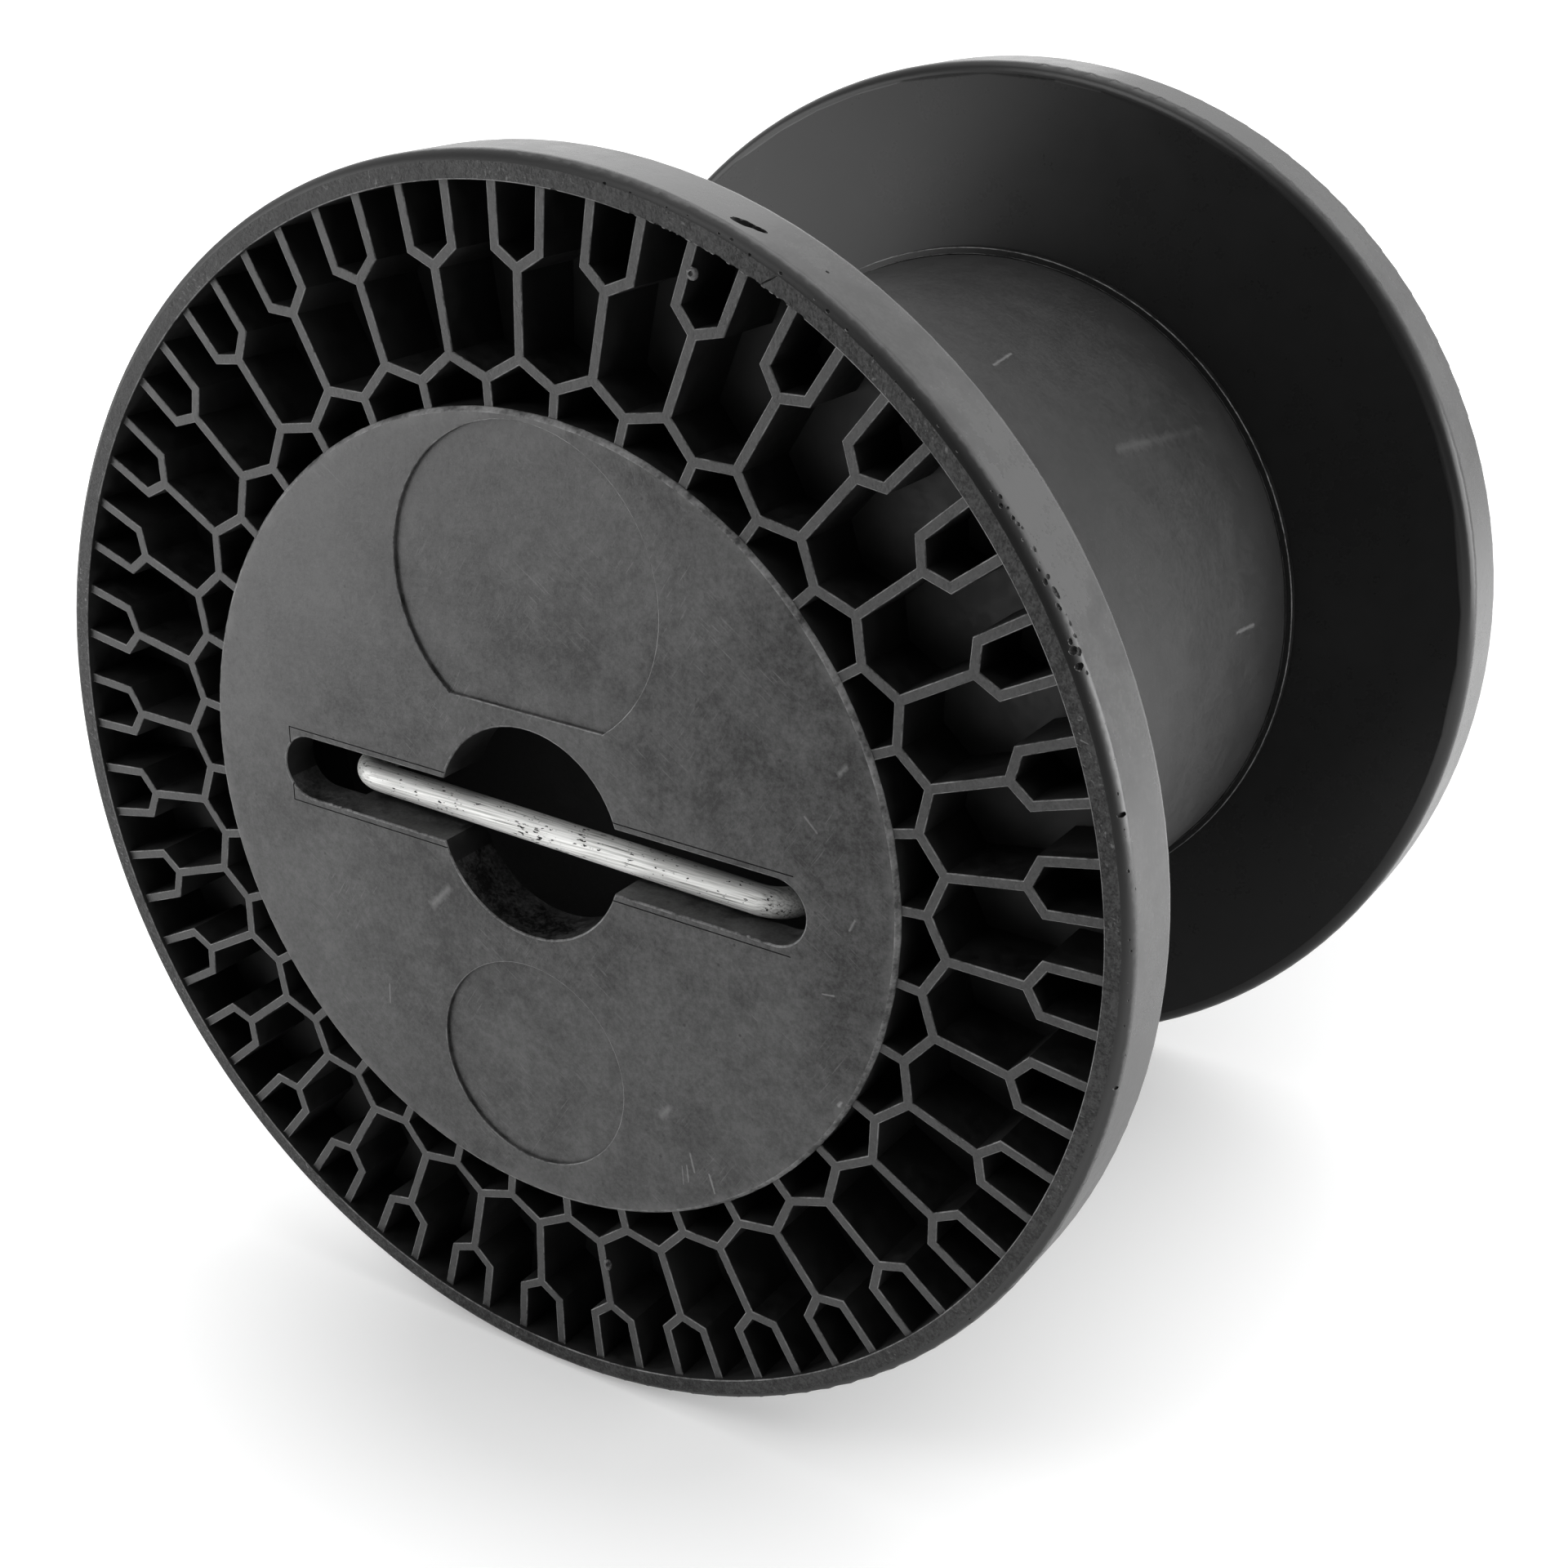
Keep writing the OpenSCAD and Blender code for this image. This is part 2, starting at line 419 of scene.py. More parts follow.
@dataclass(frozen=True)
class DrawnSteel:
    """A bright cold drawn steel rod that has rubbed in its slot.

    Drawing leaves fine lines along the rod, and rubbing leaves dark pits and short scratches.
    """

    name: str = "steel_cold_drawn_rod"
    bright: str = "#f4f4f2"
    dull: str = "#b2b2af"
    pit: str = "#1f1e1d"
    metallic: float = 0.4
    roughness: tuple[float, float] = (0.5, 0.66)
    rough_rise: tuple[float, float] = (0.3, 0.7)
    line_long_mm: float = 14.0
    line_wide_mm: float = 0.35
    dull_rise: tuple[float, float] = (0.4, 0.75)
    score_rise: tuple[float, float] = (0.68, 0.74)
    score_strength: float = 0.75
    pit_mm: float = 0.55
    pit_slender: float = 0.35
    pit_deep_mm: float = 0.05
    pit_rise: tuple[float, float] = (0.8, 0.84)
    patch_mm: float = 5.0
    patch_share: float = 0.3

    def build(self) -> bpy.types.Material:
        """Builds the finish.

        Returns:
            The material.
        """
        material, tree = empty_tree(self.name)
        spot = add_node(tree, "TexCoord", give="Object")
        across = 1 / (self.line_wide_mm * MM)
        drawn = add_node(tree, "Mapping", {
            "Vector": spot, "Scale": (1 / (self.line_long_mm * MM), across, across)})
        lines = add_node(tree, "TexNoise", {
            "Vector": drawn, "Scale": 1.0, "Detail": 2.0})
        shade = add_node(tree, "MapRange", Ramp(*self.dull_rise).of(lines))
        metal = add_node(tree, "Mix", {
            "Factor": shade, "A": linear(self.bright), "B": linear(self.dull)},
            data_type="RGBA")
        pitted = self._pitted(tree, spot, lines)
        colour = add_node(tree, "Mix", {
            "Factor": pitted, "A": metal, "B": linear(self.pit)}, data_type="RGBA")
        rough = add_node(tree, "MapRange", Ramp(
            *self.rough_rise, *self.roughness).of(lines))
        bump = add_node(tree, "Bump", {
            "Height": pitted, "Distance": self.pit_deep_mm * MM, "Strength": 1.0}, invert=True)
        shader = add_node(tree, "BsdfPrincipled", {
            "Base Color": colour, "Roughness": rough, "Metallic": self.metallic, "Normal": bump})
        add_node(tree, "OutputMaterial", {"Surface": shader})
        return material

    def _pitted(self, tree: Tree, spot: Socket, lines: Socket) -> Socket:
        """Works out where the rod is pitted or scored.

        Args:
            tree: Tree of the material.
            spot: Object coordinates.
            lines: Noise of the drawn lines.

        Returns:
            Mask of the dark places.
        """
        fine = 1 / (self.pit_mm * MM)
        stretched = add_node(tree, "Mapping", {
            "Vector": spot, "Scale": (self.pit_slender / (self.pit_mm * MM), fine, fine)})
        pits = add_node(tree, "TexNoise", {
            "Vector": stretched, "Scale": 1.0, "Detail": 2.0, "Roughness": 0.6})
        patches = add_node(tree, "TexNoise", {
            "Vector": spot, "Scale": 1 / (self.patch_mm * MM), "Detail": 2.0})
        clustered = add_node(tree, "Math", {
            0: patches, 1: self.patch_share, 2: pits}, operation="MULTIPLY_ADD")
        pitted = add_node(tree, "MapRange", Ramp(*self.pit_rise).of(clustered))
        scored = add_node(tree, "MapRange", Ramp(
            *self.score_rise, high=self.score_strength).of(lines))
        return add_node(tree, "Math", {0: pitted, 1: scored}, operation="MAXIMUM")


# Moulded as it left the tool, and darkened further as painted shade: everything deep in the honeycomb
# stays black.
CELL_PLASTIC = MouldedPlastic(
    "polypropylene_black_cell_walls_painted_shade", "#0d0d0d", "#1b1b1b", (0.45, 0.6),
    (Layer(18.0, 1.0), Layer(3.0, 0.8), Layer(0.8, 0.4, 0.02)))
# The winding face is polished in the tool, so it mirrors softly.
WINDING_PLASTIC = MouldedPlastic(
    "polypropylene_black_winding_face", "#1e1e1e", "#212121", (0.27, 0.29),
    (Layer(24.0, 1.0), Layer(5.0, 0.6), Layer(0.9, 0.3, 0.003)), shine=0.25)
# Single scratches on the hub's outer face: X and Z of both ends in m, half width in mm, strength.
HUB_FACE_Y = -0.102
HUB_MARKS: tuple[tuple[float, ...], ...] = (
    (0.0375, 0.0660, 0.0385, 0.0621, 0.3, 0.5),
    (0.0367, 0.0630, 0.0371, 0.0593, 0.25, 0.5),
    (0.0356, 0.0624, 0.0359, 0.0583, 0.2, 0.4),
    (0.0420, 0.0628, 0.0433, 0.0589, 0.3, 0.6),
    (0.0308, 0.0725, 0.0324, 0.0745, 1.2, 0.3),
    (0.0707, 0.0881, 0.0712, 0.0888, 0.5, 0.7),
    (0.0666, 0.1102, 0.0690, 0.1105, 0.25, 0.5),
    (-0.0251, 0.1036, -0.0207, 0.1082, 1.3, 0.3),
    (-0.0386, 0.0813, -0.0388, 0.0769, 0.25, 0.4),
    (0.0718, 0.1244, 0.0728, 0.1266, 0.35, 0.4),
    (0.0689, 0.1536, 0.0702, 0.1551, 0.7, 0.35),
    (0.0621, 0.1440, 0.0647, 0.1415, 0.3, 0.35),
)
# The hub disc is handled most: paler clouds, pits, speckle and scratches.
HUB_PLASTIC = MouldedPlastic(
    "polypropylene_black_scuffed_hub", "#0c0c0c", "#505050", (0.4, 0.54),
    (Layer(45.0, 0.7), Layer(13.0, 0.9), Layer(3.0, 0.7, 0.05), Layer(0.9, 0.8, 0.045),
     Layer(0.4, 0.5, 0.025, 2.0)),
    Scratches(0.25, turns=(0.6, -1.0)),
    tuple(Mark((x, HUB_FACE_Y, z), (to_x, HUB_FACE_Y, to_z), half, strength)
          for x, z, to_x, to_z, half, strength in HUB_MARKS),
    shine=0.44, pits=Pits(3.4, 0.42), band=WornBand(78.6, 81.2))
# The ring at the rim takes every knock, so it is rough and dark with pale specks.
RING_PLASTIC = MouldedPlastic(
    "polypropylene_black_battered_ring", "#0a0a0a", "#414141", (0.46, 0.62),
    (Layer(11.0, 0.5), Layer(2.0, 0.9, 0.16), Layer(0.7, 1.0, 0.12), Layer(0.35, 0.6, 0.05, 2.0)),
    Scratches(0.5, 1.1, 0.45, (0.3, 1.4)), pits=Pits(1.6, 0.34), shine=0.3)
# Rib tops are rubbed when the reel is set down on its side.
RUBBED_PLASTIC = MouldedPlastic(
    "polypropylene_black_rubbed_ribs", "#282828", "#424242", (0.46, 0.62),
    (Layer(14.0, 0.8), Layer(2.2, 0.8, 0.08), Layer(0.8, 0.9, 0.07), Layer(0.4, 0.5, 0.03, 2.0)))
# The rolling surface is burnished by the floor: satin, and paler than the rounded edges beside it. Its
# rounded front edge is darkened toward the face as painted shade, and its back edge goes over to a dark
# satin toward the winding face.
ROLLED_PLASTIC = MouldedPlastic(
    "polypropylene_black_rolled_rim", "#494949", "#595959", (0.2, 0.3),
    (Layer(22.0, 1.0), Layer(5.0, 0.6, 0.02), Layer(0.8, 0.4, 0.012)),
    # First band: painted shade on the rounded front edge; second band: dark satin toward the winding
    # face.
    edges=(RimEdge("#0f0f0f", 0.42, 100.0, 100.7), RimEdge("#1f1f1f", 0.3, 86.6, 85.4, 0.3)))
# The front rim's back edge gets a pale line that is a painted highlight.
FRONT_ROLLED_PLASTIC = replace(
    ROLLED_PLASTIC, name="polypropylene_black_rolled_rim_painted_highlight_back",
    # Second band: a painted highlight along the back edge.
    edges=(ROLLED_PLASTIC.edges[0], RimEdge("#8a8a8a", 0.5, 85.9, 85.3, 0.4)))
# Sharp edges rub pale first; on the collar round the barrel the same pale finish is a painted highlight.
ARRIS_PLASTIC = MouldedPlastic(
    "polypropylene_black_worn_edge_and_painted_highlight", "#343434", "#868686", (0.5, 0.7),
    (Layer(9.0, 1.0), Layer(2.0, 0.9), Layer(0.6, 0.6, 0.06)))


class Skin(IntEnum):
    """Material slot of each kind of surface on a flange."""

    CELL = 0
    HUB = 1
    RUBBED = 2
    ROLLED = 3
    WINDING = 4
    ARRIS = 5
    RING = 6


FLANGE_SKINS: dict[Skin, MouldedPlastic] = {
    Skin.CELL: CELL_PLASTIC,
    Skin.HUB: HUB_PLASTIC,
    Skin.RUBBED: RUBBED_PLASTIC,
    Skin.ROLLED: ROLLED_PLASTIC,
    Skin.WINDING: WINDING_PLASTIC,
    Skin.ARRIS: ARRIS_PLASTIC,
    Skin.RING: RING_PLASTIC,
}


# How squarely a face looks one way, as a cosine.
SQUARELY = 0.98
MOSTLY = 0.9
ROUGHLY = 0.8
HALFWAY = 0.5


class Side(Enum):
    """Which way a flange's outer face looks along Y."""

    FRONT = -1
    REAR = 1


# The rim's rounded front edge: its radius, and its centre's depth and distance from the axis.
NOSE_MM = 2.9
NOSE_DEEP_MM = 2.7
NOSE_AXIS_MM = 122.1
# Distance from the axis past which a lump sits on that edge.
RIM_FROM_MM = 123.0


@dataclass(frozen=True)
class Lump:
    """A small lump that is cut out of a flange or stands on it.

    Its place is given on the reel as it lies: the angle from the right, anticlockwise from the
    front, the distance from the axis and the depth behind the outer face. Its half sizes run
    outward, along the axis and round the rim.
    """

    angle_deg: float
    radius_mm: float
    depth_mm: float
    half_mm: tuple[float, float, float]
    slant_deg: float = 0.0
    turn_deg: float = 0.0
    stands: bool = False
    lip_mm: float = 0.16

    def outward(self) -> Vector:
        """Gives the way the surface looks where the lump sits.

        Returns:
            Unit vector, with the outer face toward -Y.
        """
        turn = math.radians(self.angle_deg)
        on_rim = self.radius_mm > RIM_FROM_MM
        round_off = min(max(self.depth_mm / NOSE_DEEP_MM, 0.0), 1.0) if on_rim else 0.0
        side = Vector((math.cos(turn), 0.0, math.sin(turn)))
        return (side * round_off - Vector((0.0, 1.0 - round_off, 0.0))).normalized()


def edge_radius(depth_mm: float) -> float:
    """Gives the distance from the axis of the rim's rounded edge at a depth, both in mm."""
    return NOSE_AXIS_MM + math.sqrt(NOSE_MM ** 2 - (NOSE_DEEP_MM - depth_mm) ** 2)


# A chip's place in its share of the stretch, its reach outward and round the rim, and its slant.
CHIP_PLACE = (0.05, 0.95)
CHIP_OUTWARD = 0.7
CHIP_ROUND = (0.8, 1.8)
CHIP_SLANT_DEG = (-40, 40)


def scattered(seed: int, count: int, angles: tuple[float, float], depths: tuple[float, float],
              sizes: tuple[float, float], radius_mm: float | None = None) -> list[Lump]:
    """Scatters small chips over one stretch of the rim.

    Args:
        seed: Start of the random row.
        count: How many chips.
        angles: First and last angle in degrees.
        depths: Least and greatest depth in mm.
        sizes: Least and greatest half size in mm.
        radius_mm: Distance from the axis, or None for the rounded edge.

    Returns:
        The chips.
    """
    draw = random.Random(seed)
    step = (angles[1] - angles[0]) / count
    chips = []
    for number in range(count):
        angle = angles[0] + step * (number + draw.uniform(*CHIP_PLACE))
        depth, size = draw.uniform(*depths), draw.uniform(*sizes)
        half = (CHIP_OUTWARD * size, size, size * draw.uniform(*CHIP_ROUND))
        radius = radius_mm or edge_radius(depth)
        chips.append(Lump(angle, radius, depth, half, draw.uniform(*CHIP_SLANT_DEG)))
    return chips


# Damage on the front flange, as it lies.
FRONT_LUMPS: tuple[Lump, ...] = (
    # Hole torn through the skin of the rim, with a pit beside it.
    Lump(68.8, 125.0, 5.6, (2.4, 1.25, 2.4), 21.0, 0.0, False, 0.05),
    Lump(67.8, 125.0, 6.4, (2.0, 0.9, 1.9), 16.0, 0.0, False, 0.05),
    Lump(61.55, 125.0, 7.94, (0.4, 0.35, 0.4)),
    # Nicks in the rim's rounded edge.
    Lump(28.0, edge_radius(1.0), 1.0, (0.8, 0.9, 0.7)),
    Lump(26.8, edge_radius(0.9), 0.9, (0.7, 1.0, 0.6)),
    Lump(15.3, edge_radius(1.2), 1.2, (0.7, 1.1, 0.45)),
    Lump(-7.6, edge_radius(1.3), 1.3, (0.5, 0.7, 0.4)),
    # Crack across the ring and chips along its inner edge.
    Lump(63.9, 121.6, 0.0, (2.0, 0.35, 0.16), 0.0, -36.9),
    Lump(68.4, 119.9, 0.0, (0.45, 0.5, 0.9)),
    Lump(66.6, 119.9, 0.0, (0.5, 0.4, 0.6)),
    Lump(70.1, 119.9, 0.0, (0.35, 0.4, 0.7)),
    Lump(84.6, 119.9, 0.0, (0.5, 0.5, 0.8)),
    # Chipped and swollen rib at the bottom.
    Lump(-80.5, 95.8, 1.1, (1.3, 0.7, 0.9), stands=True),
    Lump(-80.2, 95.4, 0.6, (0.6, 0.5, 0.5)),
    # Swollen rib at the top, with a dent in the swelling.
    Lump(70.6, 115.1, 1.1, (1.05, 0.75, 1.1), 0.0, 0.0, True),
    Lump(70.6, 115.2, 0.35, (0.5, 0.45, 0.5)),
    # Burrs on the slot's lower edge.
    Lump(186.4, 51.4, 0.1, (0.7, 0.25, 0.3), stands=True),
    Lump(186.8, 48.9, 0.1, (0.5, 0.3, 0.35), stands=True),
    Lump(187.2, 46.5, 0.1, (0.8, 0.2, 0.28), stands=True),
    Lump(-9.9, 44.4, 0.1, (0.7, 0.25, 0.3), stands=True),
    Lump(-9.0, 48.9, 0.1, (0.5, 0.3, 0.3), stands=True),
    Lump(-8.6, 51.4, 0.1, (0.6, 0.22, 0.36), stands=True),
    # Worn stretches of the rounded edge and of the ring.
    *scattered(3, 26, (26.0, 41.0), (0.9, 2.4), (0.2, 0.55)),
    *scattered(5, 14, (-6.0, 25.0), (0.7, 2.4), (0.12, 0.3)),
    *scattered(8, 16, (44.0, 80.0), (0.0, 0.3), (0.18, 0.42)),
    *scattered(11, 24, (60.0, 77.0), (0.0, 0.1), (0.3, 0.75), 119.95),
    *scattered(13, 10, (-75.0, -8.0), (0.1, 1.2), (0.12, 0.3)),
)
# The far rim has one pale nick on its outer edge.
REAR_LUMPS: tuple[Lump, ...] = (
    Lump(5.6, edge_radius(1.6), 1.6, (0.7, 0.8, 0.7), 0.0, 0.0, False, 0.8),
)


# Sub-assemblies


@dataclass
class FlangeMoulding:
    """One honeycomb flange with its rim, hub disc and winding face."""

    node: str
    side: Side
    skins: dict[Skin, bpy.types.Material]
    thick_mm: float = 18.0
    rim_wide_mm: float = 5.0
    rim_skin_mm: float = 0.3
    nose_mm: float = NOSE_MM
    nose_deep_mm: float = NOSE_DEEP_MM
    rounding_mm: float = 3.0
    rib_drop_mm: float = 1.0
    slack_mm: float = 0.1
    hub_radius_mm: float = 81.9
    hub_edge_mm: float = 1.5
    hub_border_mm: float = 5.0
    lip_mm: float = 0.9
    wall_mm: float = 9.0
    arris_mm: float = 0.36
    fine_share: float = 0.55
    sharp_deg: float = 25.0
    shallow_mm: float = 1.6
    collar_gap_mm: float = 1.0
    opening_mm: float = 2.0
    smooth_deg: float = 20.0
    merge_mm: float = 0.002
    flat_deg: float = 0.4
    lump_apart: float = 1.3
    lump_rough: float = 0.12
    coarse_lump_mm: float = 0.6
    lumps: tuple[Lump, ...] = ()
    witness: "WitnessLine | None" = None
    low: Vector = field(init=False)
    high: Vector = field(init=False)

    def __post_init__(self) -> None:
        """Reads the flange's place from the frame."""
        low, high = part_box(self.node)
        self.low, self.high = Vector(low), Vector(high)

    @property
    def radius(self) -> float:
        """Outer radius of the rim."""
        return (self.high.x - self.low.x) / 2

    @property
    def centre(self) -> Vector:
        """Middle of the outer face, on the axis."""
        face = self.low.y if self.side is Side.FRONT else self.high.y
        return Vector(((self.low.x + self.high.x) / 2, face, (self.low.z + self.high.z) / 2))

    def reach(self, point: Vector) -> tuple[float, float]:
        """Gives a point's distance from the axis and its depth behind the outer face.

        Args:
            point: Place in the frame.

        Returns:
            Radius and depth in metres.
        """
        away = point - self.centre
        return math.hypot(away.x, away.z), -away.y * self.side.value

    def build(self) -> Piece:
        """Models and dresses the flange.

        Returns:
            The finished piece, riding on the reel.
        """
        piece = self._copy()
        self._sort_faces(piece)
        self._soften(piece)
        self._mark(piece)
        pick_only(piece)
        bpy.ops.object.shade_smooth_by_angle(angle=math.radians(self.smooth_deg))
        self._round_rim(piece)
        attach(piece, "reel")
        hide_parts(self.node)
        return piece

    def _give_skins(self, piece: Piece) -> None:
        """Gives a piece the slots of all the finishes."""
        for skin in Skin:
            piece.data.materials.append(self.skins[skin])

    def _copy(self) -> Piece:
        """Copies the solid and joins its loose triangles into clean faces.

        Returns:
            The copy.
        """
        piece = bpy.data.objects.new(f"{self.node}_moulding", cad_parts[self.node].data.copy())
        bpy.context.scene.collection.objects.link(piece)
        piece.data.materials.clear()
        self._give_skins(piece)
        pick_only(piece)
        bpy.ops.object.mode_set(mode="EDIT")
        bpy.ops.mesh.select_all(action="SELECT")
        bpy.ops.mesh.customdata_custom_splitnormals_clear()
        bpy.ops.mesh.remove_doubles(threshold=self.merge_mm * MM)
        bpy.ops.mesh.dissolve_limited(angle_limit=math.radians(self.flat_deg))
        bpy.ops.object.mode_set(mode="OBJECT")
        return piece

    def _skin_of(self, middle: Vector, normal: Vector) -> Skin:
        """Chooses the finish of a face from its place and the way it looks.

        Args:
            middle: Middle of the face.
            normal: Outward normal of the face.

        Returns:
            The slot of its finish.
        """
        radius, depth = self.reach(middle)
        out = normal.y * self.side.value
        from_edge = self.radius - radius
        hub = radius < self.hub_radius_mm * MM
        if depth > (self.thick_mm - self.rounding_mm) * MM:
            if from_edge < self.rounding_mm * MM:
                return Skin.ROLLED
            return Skin.WINDING if out < -ROUGHLY else Skin.CELL
        if from_edge < self.rim_wide_mm * MM / 2 and depth < self.nose_mm * MM:
            return Skin.RING if out > SQUARELY else Skin.ROLLED
        if from_edge < self.rim_skin_mm * MM:
            return Skin.ROLLED
        if out > MOSTLY and depth < (self.rib_drop_mm + self.slack_mm) * MM:
            ring = from_edge < (self.rim_wide_mm + self.slack_mm) * MM
            return Skin.HUB if hub else Skin.RING if ring else Skin.RUBBED
        if hub and depth < self.lip_mm * MM and radius > (self.hub_radius_mm - self.hub_edge_mm) * MM:
            return Skin.ARRIS
        # In the hub's hollows, walls that face upward take the paler hub finish and the others the dark
        # cell finish: painted light on the upward walls, painted shade on the rest.
        if radius < (self.hub_radius_mm - self.hub_border_mm) * MM and depth < self.wall_mm * MM and (
                depth < self.lip_mm * MM or normal.z > HALFWAY):
            return Skin.HUB
        return Skin.CELL

    def _sort_faces(self, piece: Piece) -> None:
        """Gives each face its finish, told at the middle of its largest triangle.

        Args:
            piece: Flange whose faces are sorted.
        """
        mesh = piece.data
        mesh.calc_loop_triangles()
        largest: dict[int, bpy.types.MeshLoopTriangle] = {}
        for triangle in mesh.loop_triangles:
            kept = largest.get(triangle.polygon_index)
            if kept is None or triangle.area > kept.area:
                largest[triangle.polygon_index] = triangle
        for face in mesh.polygons:
            corners = [mesh.vertices[number].co for number in largest[face.index].vertices]
            face.material_index = self._skin_of(sum(corners, Vector()) / 3, face.normal)

    def _soften(self, piece: Piece) -> None:
        """Rounds the sharp edges of the outer side and of the collar, and gives them the pale edge
        finish: wear on the outer side, a painted highlight on the collar.

        Args:
            piece: Flange whose edges are rounded.
        """
        shape = bmesh.new()
        shape.from_mesh(piece.data)
        weight = shape.edges.layers.float.new("bevel_weight_edge")
        for edge in shape.edges:
            if len(edge.link_faces) != 2 or edge.calc_face_angle(0.0) < math.radians(self.sharp_deg):
                continue
            if {face.material_index for face in edge.link_faces} <= {Skin.ROLLED, Skin.RING}:
                continue
            ends = [self.reach(vert.co) for vert in edge.verts]
            radii, depths = [radius for radius, _ in ends], [depth for _, depth in ends]
            shallow = max(depths) < self.shallow_mm * MM
            # The collar's edges take the pale finish as a painted highlight.
            collar = min(depths) > (self.thick_mm + self.collar_gap_mm) * MM and min(
                radii) > self.hub_radius_mm * MM
            if (shallow or collar) and edge.is_convex:
                walls = [self.reach(vert.co)[1] for face in edge.link_faces for vert in face.verts]
                opening = max(walls) > self.opening_mm * MM and max(
                    radii) < (self.hub_radius_mm - self.hub_border_mm) * MM
                edge[weight] = 1.0 if opening else self.fine_share
        shape.to_mesh(piece.data)
        shape.free()
        pick_only(piece)
        bevel = piece.modifiers.new("worn_edges", "BEVEL")
        bevel.limit_method = "WEIGHT"
        bevel.width = self.arris_mm * MM
        bevel.segments = 2
        bevel.material = Skin.ARRIS
        bevel.use_clamp_overlap = False
        bpy.ops.object.modifier_apply(modifier=bevel.name)

    def _mark(self, piece: Piece) -> None:
        """Cuts the witness line, adds the swellings and cuts the chips, dents and holes.

        Args:
            piece: Flange that is marked.
        """
        if self.witness is not None:
            line = self.witness.build(self.centre)
            self._give_skins(line)
            self._combine(piece, [line], "DIFFERENCE")
        for stands, operation in ((True, "UNION"), (False, "DIFFERENCE")):
            for batch in self._batches([lump for lump in self.lumps if lump.stands is stands]):
                tools = [self._lump(number, lump) for number, lump in enumerate(batch)]
                self._combine(piece, tools, operation)

    def _place(self, lump: Lump) -> Vector:
        """Gives a lump's middle in the frame.

        Args:
            lump: Lump that is placed.

        Returns:
            Its middle.
        """
        turn = math.radians(lump.angle_deg)
        return self.centre + Vector((
            lump.radius_mm * MM * math.cos(turn), -self.side.value * lump.depth_mm * MM,
            lump.radius_mm * MM * math.sin(turn)))

    def _batches(self, lumps: list[Lump]) -> list[list[Lump]]:
        """Sorts lumps into batches in which no two overlap.

        Args:
            lumps: Lumps of one kind.

        Returns:
            The batches, each for one cut.
        """
        batches: list[list[Lump]] = []
        for lump in lumps:
            for batch in batches:
                if all((self._place(lump) - self._place(other)).length > self.lump_apart * MM * (
                        max(lump.half_mm) + max(other.half_mm)) for other in batch):
                    batch.append(lump)
                    break
            else:
                batches.append([lump])
        return batches

    def _round_rim(self, piece: Piece) -> None:
        """Shades the rim as the true round it stands for, whatever its facets.

        Args:
            piece: Flange whose rim is shaded.
        """
        mesh = piece.data
        normals = [corner.vector.copy() for corner in mesh.corner_normals]
        nose, winding = self.nose_mm * MM, self.rounding_mm * MM
        front, back = self.nose_deep_mm * MM, (self.thick_mm - self.rounding_mm) * MM
        for face in mesh.polygons:
            if face.material_index not in (Skin.ROLLED, Skin.WINDING):
                continue
            for corner in face.loop_indices:
                point = mesh.vertices[mesh.loops[corner].vertex_index].co
                radius, depth = self.reach(point)
                if radius < self.radius - winding - self.slack_mm / 2 * MM:
                    continue
                out = radius - self.radius + (nose if depth < front else winding)
                along = min(depth - front, 0.0) + max(depth - back, 0.0)
                away = point - self.centre
                side = Vector((away.x, 0.0, away.z)).normalized()
                normals[corner] = (side * out - Vector((0.0, along * self.side.value, 0.0))).normalized()
        mesh.normals_split_custom_set(normals)

    def _lump(self, number: int, lump: Lump) -> Piece:
        """Models one rough lump with a pale lip.

        Args:
            number: Seed of its roughness.
            lump: Place and size.

        Returns:
            The lump, ready to be cut out or joined on.
        """
        turn = math.radians(lump.angle_deg)
        bpy.ops.object.select_all(action="DESELECT")
        large = max(lump.half_mm) > self.coarse_lump_mm
        bpy.ops.mesh.primitive_ico_sphere_add(subdivisions=3 if large else 2, radius=1.0)
        tool = bpy.context.object
        bpy.ops.object.mode_set(mode="EDIT")
        bpy.ops.mesh.select_all(action="SELECT")
        bpy.ops.transform.vertex_random(offset=self.lump_rough, seed=number)
        bpy.ops.object.mode_set(mode="OBJECT")
        tool.scale = [half * MM for half in lump.half_mm]
        tool.rotation_euler = (math.radians(lump.slant_deg), -turn - math.radians(lump.turn_deg), 0.0)
        place = self._place(lump)
        tool.location = place
        bpy.ops.object.transform_apply(location=True, rotation=True, scale=True)
        outward = lump.outward()
        outward.y *= -self.side.value
        self._give_skins(tool)
        for face in tool.data.polygons:
            lip = (face.center - place).dot(outward) > -lump.lip_mm * MM
            face.material_index = Skin.ARRIS if lip or lump.stands else Skin.CELL
        return tool

    @staticmethod
    def _combine(piece: Piece, tools: list[Piece], operation: str) -> None:
        """Joins the tools into one and combines the piece with it.

        Args:
            piece: Flange that is changed.
            tools: Closed shapes, used up here.
            operation: Kind of boolean.
        """
        pick_only(tools[0])
        for tool in tools:
            tool.select_set(True)
        if len(tools) > 1:
            bpy.ops.object.join()
        tool = bpy.context.object
        pick_only(piece)
        boolean = piece.modifiers.new("marks", "BOOLEAN")
        boolean.operation = operation
        boolean.solver = "MANIFOLD"
        boolean.object = tool
        bpy.ops.object.modifier_apply(modifier=boolean.name)
        bpy.data.objects.remove(tool)


